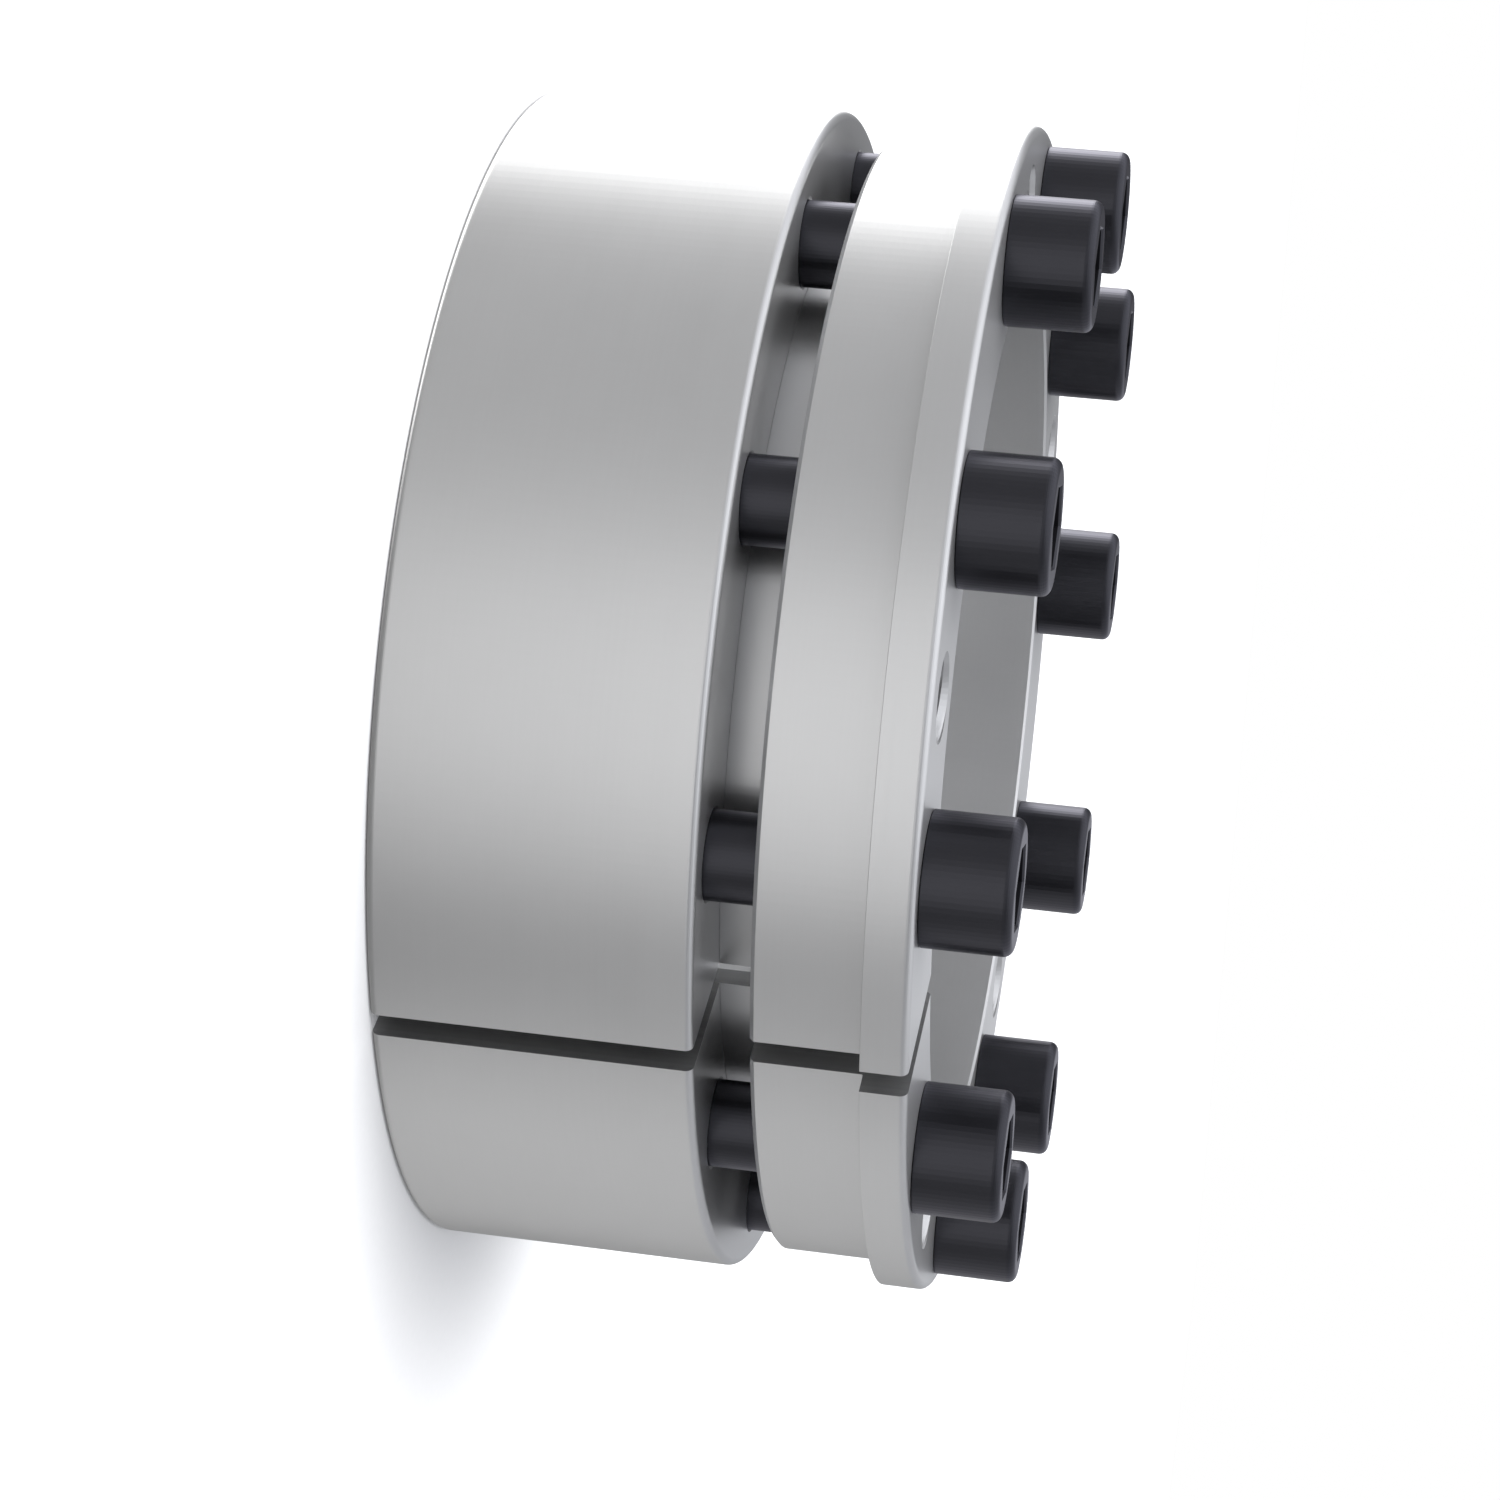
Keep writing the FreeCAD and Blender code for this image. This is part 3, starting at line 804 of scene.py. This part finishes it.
# %% World: soft walls round the part
world = bpy.data.worlds.new("studio_walls")
bpy.context.scene.world = world
world.use_nodes = True
tree = world.node_tree
tree.nodes.clear()
LOW_WALLS = [
    (-180, 2.6), (-166, 4.2), (-153, 1.8), (-141, 0.68), (-130, 0.46), (-111, 0.44), (-89, 0.44),
    (-67, 0.54), (-45, 0.68), (-23, 0.70), (-2, 0.44), (20, 0.23), (40, 0.46), (63, 0.71),
    (84, 0.65), (104, 0.55), (125, 0.25), (140, 0.3), (155, 0.8), (170, 1.3), (180, 2.6),
]
EYE_WALLS = [
    (-180, 2.6), (-166, 4.5), (-153, 2.6), (-141, 1.65), (-130, 0.78), (-111, 0.48), (-89, 0.45),
    (-67, 0.72), (-45, 1.48), (-23, 1.65), (-2, 1.42), (20, 0.56), (40, 0.57), (63, 0.7),
    (84, 0.63), (104, 0.54), (125, 0.36), (140, 0.3), (155, 0.7), (170, 1.2), (180, 2.6),
]
HIGH_WALLS = [
    (-180, 0.2), (-166, 1.3), (-153, 1.5), (-141, 1.1), (-120, 0.6), (-90, 0.45), (-60, 0.45),
    (-23, 0.45), (10, 0.36), (40, 0.4), (63, 0.6), (90, 0.58), (115, 0.5), (134, 0.62), (141, 0.75),
    (147, 0.4), (155, 0.1), (170, 0.1), (180, 0.2),
]
BRIGHTEST = 5.0
OVERHEAD = (-0.15, -0.35, 0.93)
BENCH = (0.35, 0.1, -0.93)
BENCH_LIGHT = 0.25
direction = add_node(tree, "ShaderNodeTexCoord").outputs["Generated"]
axes = add_node(tree, "ShaderNodeSeparateXYZ", {0: direction}).outputs
compass = add_node(tree, "ShaderNodeMath", {0: axes["Y"], 1: axes["X"]}, operation="ARCTAN2")
share = add_node(tree, "ShaderNodeMapRange",
                 {"Value": compass, "From Min": -math.pi, "From Max": math.pi})
walls = []
for stops in (LOW_WALLS, EYE_WALLS, HIGH_WALLS):
    curve_node = add_node(tree, "ShaderNodeFloatCurve", {1: share})
    points = curve_node.mapping.curves[0].points
    places = [((angle + 180) / 360, light / BRIGHTEST) for angle, light in stops]
    points[0].location = places[0]
    points[1].location = places[-1]
    for place in places[1:-1]:
        points.new(*place)
    for point in points:
        point.handle_type = "AUTO_CLAMPED"
    curve_node.mapping.update()
    walls.append(add_node(tree, "ShaderNodeMath", {0: curve_node, 1: BRIGHTEST},
                          operation="MULTIPLY"))
print("walls of", [len(row) for row in (LOW_WALLS, EYE_WALLS, HIGH_WALLS)], "stops")

# %% Blend the walls by height, then add the panel overhead and the bench
def toward(axis, start, end, kind="SMOOTHSTEP"):
    """Share from 0 to 1 as a direction turns towards an axis."""
    turned_to = add_node(tree, "ShaderNodeVectorMath",
                         {0: direction, 1: Vector(axis).normalized()}, operation="DOT_PRODUCT")
    return add_node(tree, "ShaderNodeMapRange",
                    {"Value": turned_to, "From Min": start, "From Max": end},
                    interpolation_type=kind)


low_walls, eye_walls, high_walls = walls
to_eye = toward((0, 0, 1), -0.215, -0.12)
to_high = toward((0, 0, 1), -0.05, 0.07)
to_panel = toward(OVERHEAD, 0.25, 0.85)
to_bench = toward(BENCH, 0.6, 0.85)
near_middle = toward(OVERHEAD, 0.4, 1.0, "LINEAR")
panel = add_node(tree, "ShaderNodeMapRange",
                 {"Value": near_middle, "To Min": 0.65, "To Max": 1.35})
light = add_node(tree, "ShaderNodeMix", {0: to_eye, 2: low_walls, 3: eye_walls})
light = add_node(tree, "ShaderNodeMix", {0: to_high, 2: light, 3: high_walls})
light = add_node(tree, "ShaderNodeMix", {0: to_panel, 2: light, 3: panel})
light = add_node(tree, "ShaderNodeMix", {0: to_bench, 2: light, 3: BENCH_LIGHT})
tint = add_node(tree, "ShaderNodeMix", {0: to_high, 6: linear("#fefefe"), 7: linear("#f5f7fd")},
                data_type="RGBA")
room = add_node(tree, "ShaderNodeBackground", {"Color": tint, "Strength": light})
plain = add_node(tree, "ShaderNodeBackground", {"Color": linear("#ffffff"), "Strength": 1.0})
seen = add_node(tree, "ShaderNodeLightPath").outputs["Is Camera Ray"]
mixed = add_node(tree, "ShaderNodeMixShader", {0: seen, 1: room, 2: plain})
add_node(tree, "ShaderNodeOutputWorld", {0: mixed})
print(world.name, "has", len(tree.nodes), "nodes")

# %% [markdown]
# Lamps
# The walls alone give hardly any shadow. A wide soft sun overhead keeps the floor evenly white,
# and a large soft lamp stands at the side that the picture shows as its top. Both are hidden
# from reflections, so that the gloss on the steel comes from the walls alone.

# %% Soft sun and side lamp
MIDDLE = Vector((0.0, 0.0, 0.045))


def soft_lamp(name, kind, place, power, **settings):
    """Lamp that looks at the middle of the part and doesn't show in reflections."""
    lamp = bpy.data.lights.new(name, kind)
    lamp.energy = power
    for setting, value in settings.items():
        setattr(lamp, setting, value)
    holder = bpy.data.objects.new(name, lamp)
    holder.location = place
    aim = MIDDLE - Vector(place)
    holder.rotation_mode = "QUATERNION"
    holder.rotation_quaternion = aim.to_track_quat("-Z", "Y")
    holder.visible_glossy = False
    bpy.context.scene.collection.objects.link(holder)
    print(name, "at", place)


soft_lamp("overhead_sun", "SUN", (-0.3, -0.5, 1.6), 2.6, angle=math.radians(50.0))
soft_lamp("side_lamp", "AREA", (-0.35, -1.5, 0.45), 9.0, size=0.9)

# %% [markdown]
# Camera
# The picture shows the part on its side, seen from a little in front of the heads. Here the part
# stands, so the camera is turned on its side instead. It stands where the edges in the picture
# say, looks at a point close to the axis and is rolled by just over a right angle.

# %% Camera at the picture's angle
CAMERA_AZIMUTH = math.radians(-35.420)
CAMERA_ELEVATION = math.radians(12.635)
CAMERA_DISTANCE = 626.09 * MM
AIM = Vector((-0.267, -0.375, 45.6)) * MM
ROLL = math.radians(95.771)
camera_data = bpy.data.cameras.new("camera")
camera_data.sensor_width = 36.0
camera_data.lens = 84.79
camera_data.shift_x = -0.0184
camera_data.shift_y = -0.0436
camera_data.clip_start = 0.01
camera = bpy.data.objects.new("camera", camera_data)
level = math.cos(CAMERA_ELEVATION)
camera.location = Vector((
    level * math.cos(CAMERA_AZIMUTH),
    level * math.sin(CAMERA_AZIMUTH),
    math.sin(CAMERA_ELEVATION),
)) * CAMERA_DISTANCE
look = (AIM - camera.location).to_track_quat("-Z", "Y")
camera.rotation_mode = "QUATERNION"
camera.rotation_quaternion = look @ Quaternion((0.0, 0.0, 1.0), ROLL)
bpy.context.scene.collection.objects.link(camera)
bpy.context.scene.camera = camera
bpy.context.scene.view_settings.view_transform = "Standard"
print("camera at", [round(value / MM) for value in camera.location])
